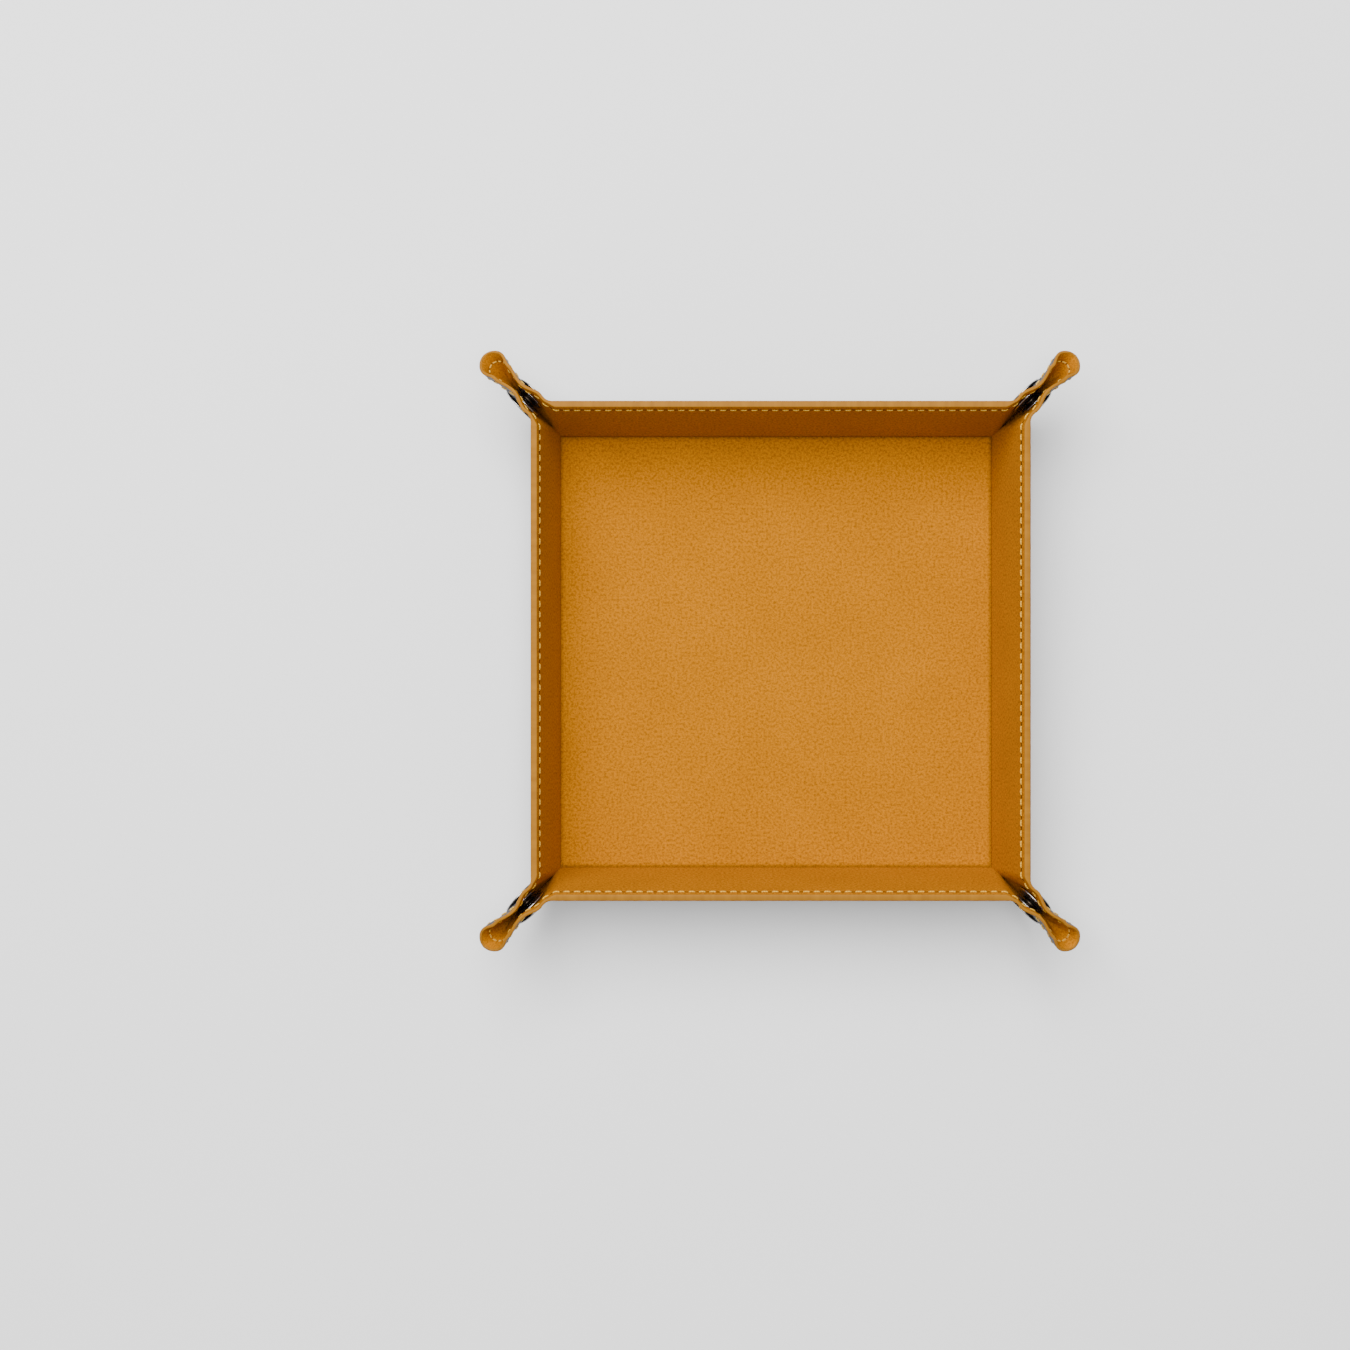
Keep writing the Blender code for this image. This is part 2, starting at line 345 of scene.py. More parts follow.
def wall_region(quarter):
    """The boarded wall, from its fold line out to the cut edge."""
    deep = inward_steps(FLANGE, 0.0)
    deep = np.concatenate([deep[:-1], FLANGE - np.array([1.9, 1.6, 1.3, 1.0, 0.7, 0.35, 0.0]) * MM])
    deep = np.unique(np.round(deep, 7))
    past = np.linspace(-2 * FLOOR_HALF - WALL_END, WALL_END, 112)
    to_edge, past = np.meshgrid(deep, past, indexing="ij")
    return Region(f"{WALLS[quarter]}_wall", quarter, 1, FLANGE - to_edge, past, to_edge, "wall")


def corner_region(quarter, side, kind):
    """A gusset, from the wall's end to a ray, or an ear, from that ray to the diagonal."""
    columns = []
    if kind == "gusset":
        strip = np.linspace(WALL_END, 0, 4)[:-1]
        rays = np.linspace(0, EAR_SEAM, 25)
        for past in strip:
            deep = inward_steps(FLANGE, 0.0)
            columns.append((FLANGE - deep, np.full_like(deep, past), deep))
    else:
        rays = np.linspace(EAR_SEAM, DIAGONAL, 27)
    for ray in rays:
        reach = float(edge_distance(ray))
        deep = inward_steps(reach, 0.05 * MM)
        columns.append(((reach - deep) * math.cos(ray), (reach - deep) * math.sin(ray), deep))
    out, past, to_edge = (np.stack([c[i] for c in columns], axis=1) for i in range(3))
    half, corner = half_of(quarter, side)
    return Region(f"{corner}_{half}_{kind}", quarter, side, out, past, to_edge, kind)


def add_layer(region, name, top, bottom, material):
    """A sheet between two heights, folded, with the flat pattern as its UV map."""
    points = np.concatenate([region.lift(top), region.lift(bottom)])
    faces = slab_faces(region.rows, region.columns)
    if region.side < 0:
        faces = [face[::-1] for face in faces]
    plan = np.stack([FLOOR_HALF + region.out, region.side * (FLOOR_HALF + region.past)], axis=1)
    angle = region.quarter * math.pi / 2
    u, v = turned(plan[:, 0], plan[:, 1], angle)
    uv = np.tile(np.stack([u, v], axis=1), (2, 1))
    piece = add_mesh(f"{region.name}_{name}", points, faces, material, uv, sharp_from=50)
    region.place(piece)
    return piece


def velvet_height(region):
    top = velvet_top(region.out, region.past, region.to_edge)
    uneven = ripple(region.out + 0.3 * region.quarter, region.past, 90, 1.0 + region.quarter)
    fade = smooth(region.to_edge / (6 * MM)) * smooth((region.out - 3 * MM) / (6 * MM))
    return top + 0.07 * MM * uneven * fade


def add_velvet(region, nodes):
    top = velvet_height(region)
    piece = add_layer(region, "velvet", top, top - CLOTH, MATERIAL["velvet"])
    declare(region, nodes)


def add_leather(region, nodes):
    face = LEATHER_FACE + leather_groove(region.to_edge - stitch_inset(region.out, region.past))
    piece = add_layer(region, "leather_sheet", face + CLOTH, face, MATERIAL["leather"])
    declare(region, nodes)


def declare(region, nodes):
    """Hides the CAD nodes that a sheet replaces."""
    out, past = region.grid(region.out), region.grid(region.past)
    cross = (out[1:, 1:] - out[:-1, :-1]) * (past[:-1, 1:] - past[1:, :-1])
    cross -= (past[1:, 1:] - past[:-1, :-1]) * (out[:-1, 1:] - out[1:, :-1])
    if nodes:
        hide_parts(*nodes)


def rim_profile(top):
    """Closed outline of the painted edge, as (past the cut edge, height), from leather round to velvet."""
    low, high = LEATHER_FACE + 0.02 * MM, top
    middle, half = (low + high) / 2, (high - low) / 2
    turns = np.linspace(-math.pi / 2, math.pi / 2, 9)
    out = [(0.34 * MM * math.cos(t) ** 0.6 if abs(math.cos(t)) > 1e-6 else 0.0) for t in turns]
    outline = [(o, middle + half * math.sin(t)) for o, t in zip(out, turns)]
    return outline + [(-0.55 * MM, high - 0.1 * MM), (-0.55 * MM, low + 0.1 * MM)]


def add_rim(region):
    """The painted edge of one region, along its outer row."""
    out, past = region.grid(region.out)[0], region.grid(region.past)[0]
    if region.kind == "wall":
        normal = np.stack([np.ones_like(out), np.zeros_like(out)], axis=1)
    else:
        arc = FLANGE - CORNER_RADIUS
        normal = np.stack([out - arc, past - arc], axis=1)
        normal /= np.linalg.norm(normal, axis=1)[:, None]
        normal[past <= arc] = (1, 0)
    tops = velvet_top(out, past, np.full_like(out, 0.25 * MM))
    points, sides = [], 0
    for i in range(len(out)):
        outline = rim_profile(tops[i])
        sides = len(outline)
        for reach, up in outline:
            points.append((out[i] + normal[i, 0] * reach, past[i] + normal[i, 1] * reach, up))
    flat = np.array(points)
    lifted = flat.copy()
    if region.kind != "wall":
        lifted[:, 2] += np.repeat(curl(out, past), sides)
    folded = fold(lifted, region.quarter, region.side, region.kind != "wall")
    faces = tube_faces(len(out), sides)
    if region.side > 0:
        faces = [face[::-1] for face in faces]
    name = f"{region.name}_painted_edge"
    piece = add_mesh(name, folded, faces, MATERIAL["edge"], flat[:, :2], sharp_from=60)
    region.place(piece, fold_share(region.kind, flat[:, 0], flat[:, 1]))


def tube_faces(rings, sides):
    """Faces of a capped tube of closed outlines."""
    faces = []
    for i in range(rings - 1):
        for j in range(sides):
            here, there = i * sides + j, i * sides + (j + 1) % sides
            faces.append([here, there, there + sides, here + sides])
    faces.append(list(range(sides))[::-1])
    faces.append([(rings - 1) * sides + j for j in range(sides)])
    return faces


# Stitching


def stitch_path():
    """Flat points of half a wall's stitch line, from the wall's middle past its end to the diagonal."""
    straight = np.linspace(-FLOOR_HALF, 0, 200)[:-1]
    points = [(FLANGE - STITCH_INSET, past) for past in straight]
    for ray in np.linspace(0, DIAGONAL, 240):
        out, past = math.cos(ray), math.sin(ray)
        reach = float(edge_distance(ray) - stitch_inset(np.array(out), np.array(past)))
        points.append((reach * out, reach * past))
    return np.array(points)


def stitches_along(path):
    """(middle, direction) of each stitch, evenly spaced, with half a pitch left over at each end."""
    steps = np.linalg.norm(np.diff(path, axis=0), axis=1)
    run = np.concatenate([[0], np.cumsum(steps)])
    count = round(run[-1] / STITCH_PITCH)
    found = []
    for i in range(count):
        at = run[-1] * (i + 0.5) / count
        middle = np.array([np.interp(at, run, path[:, k]) for k in (0, 1)])
        ahead = np.array([np.interp(at + 0.2 * MM, run, path[:, k]) for k in (0, 1)])
        found.append((middle, (ahead - middle) / np.linalg.norm(ahead - middle)))
    return found


def stitch_mesh(middle, along, upwards):
    """One stitch, a thread that dives at both ends.

    Its points are (out, past, height over the face, distance off the stitch line).
    """
    sides, rings = 8, 9
    across = np.array([-along[1], along[0]])
    points = []
    for i in range(rings):
        share = 2 * i / (rings - 1) - 1
        at = middle + along * share * STITCH_LENGTH / 2
        thick = THREAD * (1 - 0.45 * abs(share) ** 6)
        height = THREAD * 0.75 - 2.2 * THREAD * abs(share) ** 5
        for j in range(sides):
            turn = 2 * math.pi * j / sides
            aside = thick * 1.1 * math.cos(turn)
            spot = at + across * aside
            points.append((*spot, upwards * (height + thick * math.sin(turn)), aside))
    faces = tube_faces(rings, sides)
    return points, faces if upwards < 0 else [face[::-1] for face in faces]


def hole_mesh(middle, along, upwards, end):
    """The dark needle hole at one end of a stitch: a thin oval on the face, with a skirt below it.

    It is smaller where there is no board, because the soft sheet closes round the thread.
    """
    sides = 12
    at = middle + along * end * (STITCH_LENGTH / 2 + 0.14 * MM)
    across = np.array([-along[1], along[0]])
    size = 0.5 + 0.5 * float(boarded(*middle))
    points = [(*at, upwards * 0.05 * MM, 0.0)]
    for reach, height in ((size, 0.03), (0.9 * size, -0.2)):
        for j in range(sides):
            turn = 2 * math.pi * j / sides
            aside = reach * HOLE_WIDTH * math.sin(turn)
            spot = at + along * reach * HOLE_LENGTH * math.cos(turn) + across * aside
            points.append((*spot, upwards * height * MM, aside))
    faces = []
    for j in range(sides):
        k = (j + 1) % sides
        faces.append([0, 1 + j, 1 + k])
        faces.append([1 + k, 1 + j, 1 + sides + j, 1 + sides + k])
    faces.append([1 + sides + j for j in range(sides)][::-1])
    return points, faces if upwards > 0 else [face[::-1] for face in faces]


def face_height(out, past, aside, upwards):
    """Height of the velvet's or the leather's face near the stitch line."""
    if upwards > 0:
        return velvet_top(out, past, stitch_inset(out, past) + aside)
    return LEATHER_FACE + leather_groove(aside)


def kind_of(middle):
    if middle[1] < WALL_END:
        return "wall"
    return "gusset" if math.atan2(max(middle[1], 0), middle[0]) < EAR_SEAM else "ear"


def add_stitching(quarter, side, regions):
    """Threads and needle holes on both faces of half a wall, one gusset and half an ear."""
    stitches = stitches_along(stitch_path())
    for kind in ("wall", "gusset", "ear"):
        here = [stitch for stitch in stitches if kind_of(stitch[0]) == kind]
        for name, material in (("stitching", "thread"), ("needle_holes", "hole")):
            points, faces = [], []
            for middle, along in here:
                for upwards in (1, -1):
                    if name == "stitching":
                        made = [stitch_mesh(middle, along, upwards)]
                    else:
                        made = [hole_mesh(middle, along, upwards, end) for end in (-1, 1)]
                    for new, new_faces in made:
                        out, past, up, aside = np.array(new).T
                        up = up + face_height(out, past, aside, upwards)
                        faces += [[i + len(points) for i in face] for face in new_faces]
                        points += np.stack([out, past, up], axis=1).tolist()
            add_along_rim(quarter, side, kind, regions[kind], name, material, np.array(points), faces)


def add_along_rim(quarter, side, kind, region, name, material, flat, faces):
    """One piece of stitching, folded from flat points into place; on a wall it is attached to the wall's
    body.
    """
    half, corner = half_of(quarter, side)
    lifted = flat.copy()
    if kind != "wall":
        lifted[:, 2] += curl(flat[:, 0], flat[:, 1])
    folded = fold(lifted, quarter, side, kind != "wall")
    if side < 0:
        faces = [face[::-1] for face in faces]
    title = f"{WALLS[quarter]}_wall_{half}_end" if kind == "wall" else f"{corner}_{half}_{kind}"
    piece = add_mesh(f"{title}_{name}", folded, faces, MATERIAL[material], flat[:, :2])
    if kind == "wall":
        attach(piece, f"{WALLS[quarter]}_wall")
    else:
        region.place(piece, fold_share(kind, flat[:, 0], flat[:, 1]))


# Press studs


def snap_matrix(quarter, side):
    """The frame of a snap on its gusset: origin on the leather's middle, Z towards the velvet."""
    spots = np.array([[0, 0, 0], [1, 0, 0], [0, 1, 0], [0, 0, 1]]) * MM + np.array([SNAP[0], SNAP[1], 0])
    origin, x, y, z = (Vector(p) for p in fold(spots, quarter, side))
    axes = [(p - origin).normalized() for p in (x, y, z)]
    if side < 0:
        axes[1].negate()
    matrix = Matrix((axes[0], axes[1], axes[2])).transposed().to_4x4()
    matrix.translation = origin
    return matrix


def arc_points(centre, radius, start, end, count):
    """Profile points on an arc, in millimetres and degrees."""
    angles = np.radians(np.linspace(start, end, count))
    return [(centre[0] + radius * math.cos(a), centre[1] + radius * math.sin(a)) for a in angles]


def add_turned(name, profile, steps, matrix, wave=None, recess=None):
    """A nickel piece turned from a profile in millimetres that starts and ends on the axis.

    Its recess, the part that gets nickel painted dark as shade, is given as (inner radius, outer radius,
    lowest height).
    """
    points, faces, dark = [], [], []
    rings = []
    for radius, height in profile:
        if radius < 1e-6:
            rings.append([len(points)] * steps)
            points.append((0.0, 0.0, height))
            continue
        rings.append(list(range(len(points), len(points) + steps)))
        for j in range(steps):
            turn = 2 * math.pi * j / steps
            lift = wave(radius, turn) if wave else 0.0
            points.append((radius * math.cos(turn), radius * math.sin(turn), height + lift))
    for upper, lower in zip(rings, rings[1:]):
        for j in range(steps):
            k = (j + 1) % steps
            face = list(dict.fromkeys([upper[j], lower[j], lower[k], upper[k]]))
            if len(face) > 2:
                middle = sum((Vector(points[i]) for i in face), Vector()) / len(face)
                faces.append(face)
                dark.append(recess and recess[0] < middle.xy.length < recess[1] and middle.z > recess[2])
    placed = [matrix @ Vector([c * MM for c in p]) for p in points]
    piece = add_mesh(name, placed, faces, MATERIAL["nickel"], sharp_from=45)
    # The recess's faces take the nickel painted dark as shade.
    piece.data.materials.append(MATERIAL["recess"])
    piece.data.polygons.foreach_set("material_index", [1 if d else 0 for d in dark])
    return piece


def add_wire(name, path, radius, matrix, material):
    """A round wire along a path of points in millimetres."""
    sides = 10
    path = [Vector(p) for p in path]
    points = []
    for i, at in enumerate(path):
        ahead = (path[min(i + 1, len(path) - 1)] - path[max(i - 1, 0)]).normalized()
        side = ahead.cross(Vector((0, 0, 1))).normalized()
        up = side.cross(ahead)
        for j in range(sides):
            turn = 2 * math.pi * j / sides
            points.append(at + (side * math.cos(turn) + up * math.sin(turn)) * radius)
    placed = [matrix @ (p * MM) for p in points]
    return add_mesh(name, placed, tube_faces(len(path), sides), material)


def mount(piece, body, node):
    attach(piece, body)
    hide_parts(node)


def add_cap(name, matrix, body):
    """Outer cap: a low dome with a rolled edge, and the barrel that holds the other half."""
    seat = CAP_SEAT / MM
    profile = [(0.0, 0.84), (1.2, 0.84), (1.45, 0.7), (1.5, 0.5), (1.5, seat)]
    profile += [(5.4, seat), (5.75, seat - 0.02)]
    profile += arc_points((5.72, seat - 0.3), 0.28, 80, -80, 9)
    profile += [(5.3, seat - 0.62), (4.2, seat - 0.72), (2.8, seat - 0.79)]
    profile += [(1.4, seat - 0.82), (0.0, seat - 0.83)]
    piece = add_turned(name, profile, 72, matrix)
    mount(piece, body, name)


def knurl(turns, middle, width, depth):
    """Radial ridges on a flange: this many round, on a ring this far out, in millimetres."""

    def wave(radius, turn):
        return depth * math.exp(-(((radius - middle) / width) ** 2)) * math.cos(turns * turn)

    return wave


def add_socket(corner, matrix, body):
    """Socket: a pressed flange with a ridged ring, a deep mouth, and the eyelet that rivets it down."""
    seat = SNAP_SEAT / MM
    profile = [(0.0, seat - 0.1), (0.8, seat - 0.1), (1.02, seat + 0.1)]
    profile += arc_points((1.3, seat + 0.14), 0.24, 180, 0, 7)
    profile += [(1.6, seat - 0.05), (2.5, seat - 0.05), (2.55, seat + 0.2), (2.55, seat + 0.62)]
    profile += arc_points((2.83, seat + 0.66), 0.26, 180, 30, 8)
    profile += [(3.3, seat + 0.74), (3.6, seat + 0.66), (4.0, seat + 0.6), (4.4, seat + 0.6)]
    profile += [(4.58, seat + 0.62), (4.68, seat + 0.48), (4.8, seat + 0.66)]
    profile += arc_points((5.22, seat + 0.34), 0.4, 100, -80, 10)
    profile += [(4.6, seat), (2.7, seat - 0.15), (0.0, seat - 0.2)]
    ridges = knurl(28, 4.1, 0.5, 0.05)
    # The mouth, within 2.7 mm of the axis, is painted dark as shade.
    piece = add_turned(f"{corner}_socket", profile, 168, matrix, ridges, (0.0, 2.7, seat - 0.12))
    mount(piece, body, f"{corner}_socket")


def add_spring(corner, matrix, body):
    """The two bowed legs of the socket's wire spring, joined round one side."""
    height = SNAP_SEAT / MM + 0.4
    path = []
    for turn in np.radians(np.linspace(-160, 160, 49)):
        squeeze = 0.30 * math.sin(turn) ** 2
        radius = 2.3 - squeeze
        path.append((radius * math.cos(turn), radius * math.sin(turn), height))
    piece = add_wire(f"{corner}_socket_spring", path, 0.17, matrix, MATERIAL["spring"])
    mount(piece, body, f"{corner}_socket_spring")


def add_stud(corner, matrix, body):
    """Stud: a ridged flange round a dished ring, and the ball that the spring grips."""
    seat = SNAP_SEAT / MM
    profile = [(0.0, seat + 1.42), (0.3, seat + 1.4), (0.42, seat + 1.5), (0.8, seat + 1.56)]
    profile += arc_points((1.1, seat + 1.06), 0.52, 75, -35, 9)
    profile += [(1.42, seat + 0.6), (1.4, seat + 0.1), (1.7, seat - 0.05)]
    profile += [(2.25, seat - 0.02), (2.42, seat + 0.3)]
    profile += [(2.6, seat + 0.42), (2.9, seat + 0.43), (3.2, seat + 0.4), (3.5, seat + 0.37)]
    profile += [(3.7, seat + 0.35), (3.8, seat + 0.22), (3.92, seat + 0.34)]
    profile += arc_points((4.28, seat + 0.16), 0.2, 110, -80, 8)
    profile += [(3.6, seat), (2.3, seat - 0.15), (0.0, seat - 0.2)]
    ridges = knurl(36, 3.35, 0.42, 0.05)
    # The dished ring round the ball is painted dark as shade.
    piece = add_turned(f"{corner}_stud", profile, 216, matrix, ridges, (1.3, 2.5, seat - 0.1))
    mount(piece, body, f"{corner}_stud")


# Materials


def new_material(name):
    material = bpy.data.materials.new(name)
    material.use_nodes = True
    return material, material.node_tree.nodes, material.node_tree.links


def set_shader(nodes, **values):
    shader = nodes["Principled BSDF"]
    for socket, value in values.items():
        shader.inputs[socket.replace("_", " ")].default_value = value
    return shader


def add_noise(nodes, links, source, scale, detail, roughness=0.6):
    texture = nodes.new("ShaderNodeTexNoise")
    texture.inputs["Scale"].default_value = scale
    texture.inputs["Detail"].default_value = detail
    texture.inputs["Roughness"].default_value = roughness
    links.new(source, texture.inputs["Vector"])
    return texture.outputs["Fac"]


def add_ramp(nodes, links, factor, low, high, stops=(0.3, 0.7)):
    ramp = nodes.new("ShaderNodeValToRGB")
    ramp.color_ramp.elements[0].position, ramp.color_ramp.elements[1].position = stops
    ramp.color_ramp.elements[0].color = (*low, 1)
    ramp.color_ramp.elements[1].color = (*high, 1)
    links.new(factor, ramp.inputs["Fac"])
    return ramp.outputs["Color"]


def multiply_colours(nodes, links, first, second, factor):
    mix = nodes.new("ShaderNodeMix")
    mix.data_type, mix.blend_type = "RGBA", "MULTIPLY"
    mix.inputs["Factor"].default_value = factor
    links.new(first, mix.inputs["A"])
    links.new(second, mix.inputs["B"])
    return mix.outputs["Result"]


def add_bump(nodes, links, height, strength, distance, normal=None):
    bump = nodes.new("ShaderNodeBump")
    bump.inputs["Strength"].default_value = strength
    bump.inputs["Distance"].default_value = distance
    links.new(height, bump.inputs["Height"])
    if normal is not None:
        links.new(normal, bump.inputs["Normal"])
    return bump.outputs["Normal"]


def flat_coordinates(nodes):
    node = nodes.new("ShaderNodeUVMap")
    node.uv_map = "flat"
    return node.outputs["UV"]


def object_coordinates(nodes):
    return nodes.new("ShaderNodeTexCoord").outputs["Object"]


def make_velvet():
    """Short ochre pile: cloudy where it has been brushed, and speckled by its fibres."""
    material, nodes, links = new_material("ochre_velvet")
    shader = set_shader(nodes, Roughness=0.9, Specular_IOR_Level=0.03)
    set_shader(nodes, Sheen_Weight=0.04, Sheen_Roughness=0.5, Sheen_Tint=(1.0, 0.62, 0.12, 1))
    flat = flat_coordinates(nodes)
    clouds = add_noise(nodes, links, flat, 38, 4, 0.6)
    fibres = add_noise(nodes, links, flat, 2400, 3, 0.7)
    nap = add_noise(nodes, links, flat, 1300, 3, 0.65)
    base = add_ramp(nodes, links, clouds, (0.435, 0.152, 0.0007), (0.485, 0.173, 0.001))
    speckle = add_ramp(nodes, links, fibres, (0.66, 0.62, 0.50), (1.0, 1.0, 1.0), (0.30, 0.60))
    brushed = add_ramp(nodes, links, nap, (0.56, 0.53, 0.44), (1.0, 1.0, 1.0), (0.36, 0.56))
    colour = multiply_colours(nodes, links, base, speckle, 0.8)
    colour = multiply_colours(nodes, links, colour, brushed, 0.85)
    links.new(colour, shader.inputs["Base Color"])
    normal = add_bump(nodes, links, nap, 0.35, 0.0003)
    links.new(add_bump(nodes, links, fibres, 0.6, 0.0002, normal), shader.inputs["Normal"])
    return material


def make_leather():
    """Charcoal faux leather: small rounded pebbles with creases between them."""
    material, nodes, links = new_material("charcoal_leather")
    shader = set_shader(nodes, Specular_IOR_Level=0.3)
    flat = flat_coordinates(nodes)
    pebbles = nodes.new("ShaderNodeTexVoronoi")
    pebbles.feature = "F1"
    pebbles.inputs["Scale"].default_value = 1100
    links.new(flat, pebbles.inputs["Vector"])
    wear = add_noise(nodes, links, flat, 90, 4)
    tint = add_ramp(nodes, links, wear, (0.022, 0.020, 0.022), (0.036, 0.032, 0.035))
    distance = pebbles.outputs["Distance"]
    grain = add_ramp(nodes, links, distance, (1.0, 1.0, 1.0), (0.55, 0.54, 0.56), (0.25, 0.75))
    links.new(multiply_colours(nodes, links, tint, grain, 0.7), shader.inputs["Base Color"])
    rough = add_ramp(nodes, links, wear, (0.48, 0.48, 0.48), (0.64, 0.64, 0.64))
    links.new(rough, shader.inputs["Roughness"])
    invert = nodes.new("ShaderNodeMath")
    invert.operation = "SUBTRACT"
    invert.inputs[0].default_value = 1.0
    links.new(distance, invert.inputs[1])
    links.new(add_bump(nodes, links, invert.outputs[0], 0.55, 0.00025), shader.inputs["Normal"])
    return material


def make_edge():
    """Ochre edge paint, smooth, with slight waves where it was brushed on."""
    material, nodes, links = new_material("ochre_edge_paint")
    shader = set_shader(nodes, Roughness=0.6, Specular_IOR_Level=0.15)
    flat = flat_coordinates(nodes)
    streaks = add_noise(nodes, links, flat, 420, 4)
    base = add_ramp(nodes, links, streaks, (0.24, 0.094, 0.003), (0.31, 0.127, 0.005))
    links.new(base, shader.inputs["Base Color"])
    links.new(add_bump(nodes, links, streaks, 0.25, 0.0002), shader.inputs["Normal"])
    return material


def make_thread():
    """Waxed yellow thread with its twist."""
    material, nodes, links = new_material("cream_thread")
    shader = set_shader(nodes, Roughness=0.6, Specular_IOR_Level=0.3, Sheen_Weight=0.2)
    flat = flat_coordinates(nodes)
    twist = nodes.new("ShaderNodeTexWave")
    twist.bands_direction = "DIAGONAL"
    twist.inputs["Scale"].default_value = 900
    twist.inputs["Distortion"].default_value = 1.0
    links.new(flat, twist.inputs["Vector"])
    base = add_ramp(nodes, links, twist.outputs["Fac"], (0.47, 0.25, 0.012), (0.68, 0.40, 0.03))
    links.new(base, shader.inputs["Base Color"])
    links.new(add_bump(nodes, links, twist.outputs["Fac"], 0.4, 0.0001), shader.inputs["Normal"])
    return material


def make_hole():
    """The shaded inside of a needle hole."""
    material, nodes, links = new_material("needle_hole")
    shader = set_shader(nodes, Roughness=0.95, Specular_IOR_Level=0.1)
    fuzz = add_noise(nodes, links, flat_coordinates(nodes), 3000, 2)
    shade = add_ramp(nodes, links, fuzz, (0.012, 0.006, 0.002), (0.06, 0.03, 0.008))
    links.new(shade, shader.inputs["Base Color"])
    return material


def make_nickel():
    """Bright nickel plate, with faint handling marks in its gloss."""
    material, nodes, links = new_material("bright_nickel")
    shader = set_shader(nodes, Metallic=1.0)
    marks = add_noise(nodes, links, object_coordinates(nodes), 900, 5, 0.7)
    plate = add_ramp(nodes, links, marks, (0.34, 0.33, 0.32), (0.50, 0.49, 0.475))
    links.new(plate, shader.inputs["Base Color"])
    links.new(add_ramp(nodes, links, marks, (0.16,) * 3, (0.34,) * 3), shader.inputs["Roughness"])
    return material


def make_recess():
    """Nickel painted dark as shade, inside a socket's mouth and round a stud's ball."""
    material, nodes, links = new_material("tarnished_nickel")
    shader = set_shader(nodes, Metallic=1.0, Roughness=0.45)
    marks = add_noise(nodes, links, object_coordinates(nodes), 1600, 4)
    # Painted shade: dark colours stand in for the shade in the socket's mouth and round the stud's ball.
    painted_shade = add_ramp(nodes, links, marks, (0.03, 0.022, 0.016), (0.12, 0.09, 0.065))
    links.new(painted_shade, shader.inputs["Base Color"])
    return material


def make_spring():
    """Drawn steel wire, a little duller than the plate."""
    material, nodes, links = new_material("spring_wire")
    shader = set_shader(nodes, Metallic=1.0, Roughness=0.3)
    marks = add_noise(nodes, links, object_coordinates(nodes), 2500, 3)
    steel = add_ramp(nodes, links, marks, (0.40, 0.39, 0.38), (0.58, 0.57, 0.55))
    links.new(steel, shader.inputs["Base Color"])
    return material


def make_board():
    """Grey board core: pressed pulp with darker flecks."""
    material, nodes, links = new_material("grey_board")
    shader = set_shader(nodes, Roughness=0.9, Specular_IOR_Level=0.15)
    pulp = add_noise(nodes, links, object_coordinates(nodes), 1400, 5, 0.7)
    grey = add_ramp(nodes, links, pulp, (0.28, 0.24, 0.18), (0.46, 0.40, 0.31))
    links.new(grey, shader.inputs["Base Color"])
    links.new(add_bump(nodes, links, pulp, 0.3, 0.0002), shader.inputs["Normal"])
    return material


MATERIAL = {
    "velvet": make_velvet(),
    "leather": make_leather(),
    "edge": make_edge(),
    "thread": make_thread(),
    "hole": make_hole(),
    "nickel": make_nickel(),
    "recess": make_recess(),
    "spring": make_spring(),
    "board": make_board(),
}


# The tray


def add_floor_layer(name, top_of, material, node):
    """The floor's velvet or leather: a square out to the fold lines."""
    line = np.concatenate([
        np.linspace(0, FLOOR_HALF - 3 * MM, 46),
        FLOOR_HALF - np.array([2.4, 2.1, 1.8, 1.5, 1.2, 0.9, 0.6, 0.3, 0.0]) * MM,
    ])
    line = np.concatenate([-line[:0:-1], line])
    x, y = (g.ravel() for g in np.meshgrid(line, line, indexing="xy"))
    top = top_of(x, y)
    points = np.concatenate([np.stack([x, y, top], axis=1), np.stack([x, y, top - CLOTH], axis=1)])
    points[:, 2] += HINGE
    uv = np.tile(np.stack([x, y], axis=1), (2, 1))
    faces = slab_faces(len(line), len(line))
    piece = add_mesh(name, points, faces, material, uv, sharp_from=50)
    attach(piece, "base")
    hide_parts(node)


def floor_velvet(x, y):
    """Height of the floor's velvet, which sinks into the creases where the board stops."""
    from_sides, from_ends = FLOOR_HALF - np.abs(x), FLOOR_HALF - np.abs(y)
    raised = smooth((from_sides / MM - 0.5) / 2.0) * smooth((from_ends / MM - 0.5) / 2.0)
    inside = smooth((np.minimum(from_sides, from_ends) - 3 * MM) / (8 * MM))
    return SOFT_TOP + BOARD_RISE * raised + 0.06 * MM * ripple(x, y, 60, 5.0) * inside


def floor_leather(x, y):
    return np.full_like(x, LEATHER_FACE + CLOTH)


def build_tray():
    for node, thing in frame["nodes"].items():
        if node.endswith("_board"):
            thing.data.materials.clear()
            thing.data.materials.append(MATERIAL["board"])
    velvet, leather = MATERIAL["velvet"], MATERIAL["leather"]
    add_floor_layer("floor_velvet", floor_velvet, velvet, "base_lining")
    add_floor_layer("floor_leather_sheet", floor_leather, leather, "base_leather")
    for quarter, wall in enumerate(WALLS):
        region = wall_region(quarter)
        add_velvet(region, [f"{wall}_wall_lining"])
        add_leather(region, [f"{wall}_wall_leather"])
        add_rim(region)
        for side in (1, -1):
            half, corner = half_of(quarter, side)
            build_half(quarter, side, half, corner)


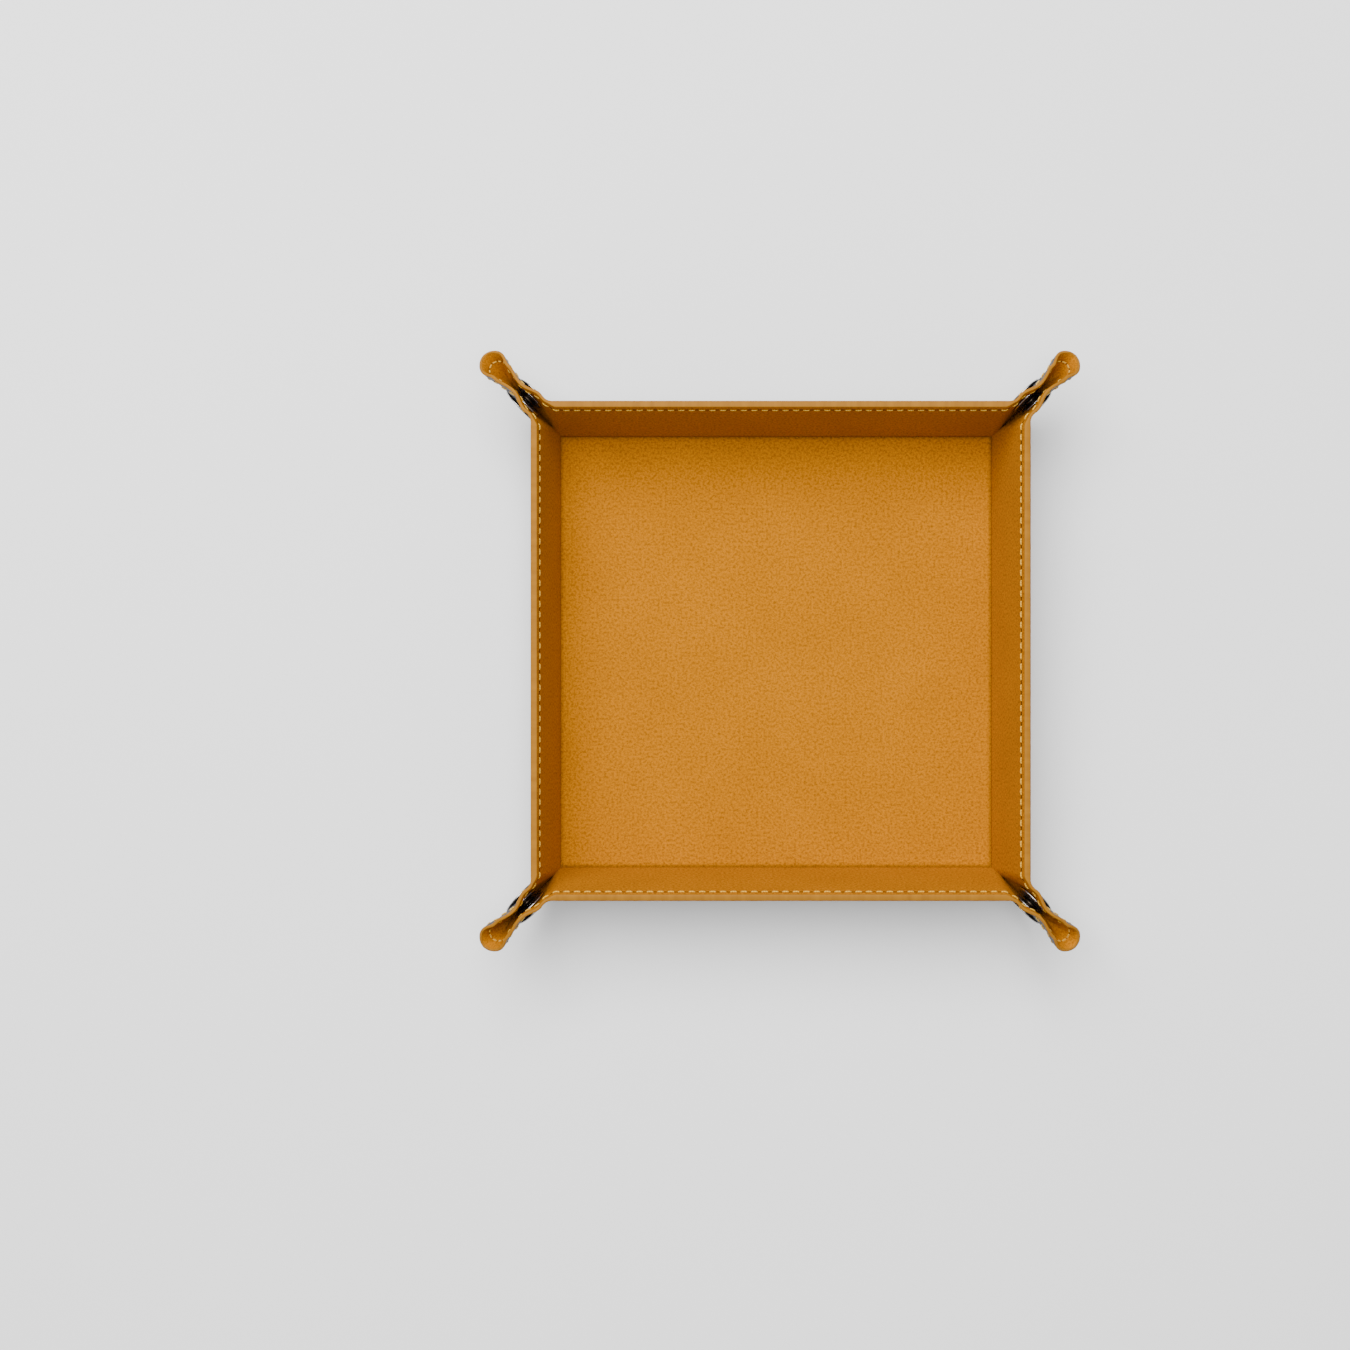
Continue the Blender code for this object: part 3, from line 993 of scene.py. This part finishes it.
def build_half(quarter, side, half, corner):
    """A wall's end: its gusset, its half of the ear, their stitching, and its half of the snap."""
    gusset = corner_region(quarter, side, "gusset")
    ear = corner_region(quarter, side, "ear")
    add_velvet(gusset, [f"{corner}_{half}_gusset_lining"])
    add_leather(gusset, [f"{corner}_{half}_gusset_leather"])
    add_velvet(ear, [f"{corner}_{half}_ear"])
    add_leather(ear, [])
    for region in (gusset, ear):
        add_rim(region)
    add_stitching(quarter, side, {"wall": None, "gusset": gusset, "ear": ear})
    matrix = snap_matrix(quarter, side)
    body = f"{corner}_{half}_gusset"
    add_cap(f"{corner}_{half}_cap", matrix, body)
    if half == "socket":
        add_socket(corner, matrix, body)
        add_spring(corner, matrix, body)
    else:
        add_stud(corner, matrix, body)


# Studio

EYE_HEIGHT = 0.75
EYE_PLACE = (-0.0307, -0.007)  # over the middle of the picture, off the tray's own middle
PICTURE_WIDTH = 0.4104  # at the floor of the tray
FLOOR_VELVET_HEIGHT = 0.002
AMBIENT = 0.5
TABLE_HALF, TABLE_HEIGHT = 3.0, -0.0002


def add_camera():
    data = bpy.data.cameras.new("camera")
    data.sensor_width = 36
    data.lens = data.sensor_width * (EYE_HEIGHT - FLOOR_VELVET_HEIGHT) / PICTURE_WIDTH
    camera = bpy.data.objects.new("camera", data)
    camera.location = (*EYE_PLACE, EYE_HEIGHT)
    bpy.context.scene.collection.objects.link(camera)
    bpy.context.scene.camera = camera


def add_light(name, location, size, power):
    """A square soft light that faces the tray."""
    data = bpy.data.lights.new(name, "AREA")
    data.shape, data.size, data.energy = "SQUARE", size, power
    light = bpy.data.objects.new(name, data)
    light.location = location
    light.rotation_euler = (-Vector(location)).to_track_quat("-Z", "Y").to_euler()
    bpy.context.scene.collection.objects.link(light)


def add_table():
    material, nodes, links = new_material("pale_table")
    shader = set_shader(nodes, Roughness=0.7)
    shade = add_noise(nodes, links, object_coordinates(nodes), 4, 2)
    links.new(add_ramp(nodes, links, shade, (0.90,) * 3, (0.93,) * 3), shader.inputs["Base Color"])
    corners = ((-1, -1), (1, -1), (1, 1), (-1, 1))
    points = [(x * TABLE_HALF, y * TABLE_HALF, TABLE_HEIGHT) for x, y in corners]
    table = add_mesh("table", points, [[0, 1, 2, 3]], material)


def add_world():
    world = bpy.data.worlds.new("studio")
    world.use_nodes = True
    world.node_tree.nodes["Background"].inputs["Color"].default_value = (1, 1, 1, 1)
    world.node_tree.nodes["Background"].inputs["Strength"].default_value = AMBIENT
    bpy.context.scene.world = world


add_camera()
add_light("key", location=(-0.25, 0.5, 1.07), size=0.9, power=29)
add_light("fill", location=(0.02, -0.02, 1.35), size=0.4, power=7)
add_table()
add_world()
build_tray()
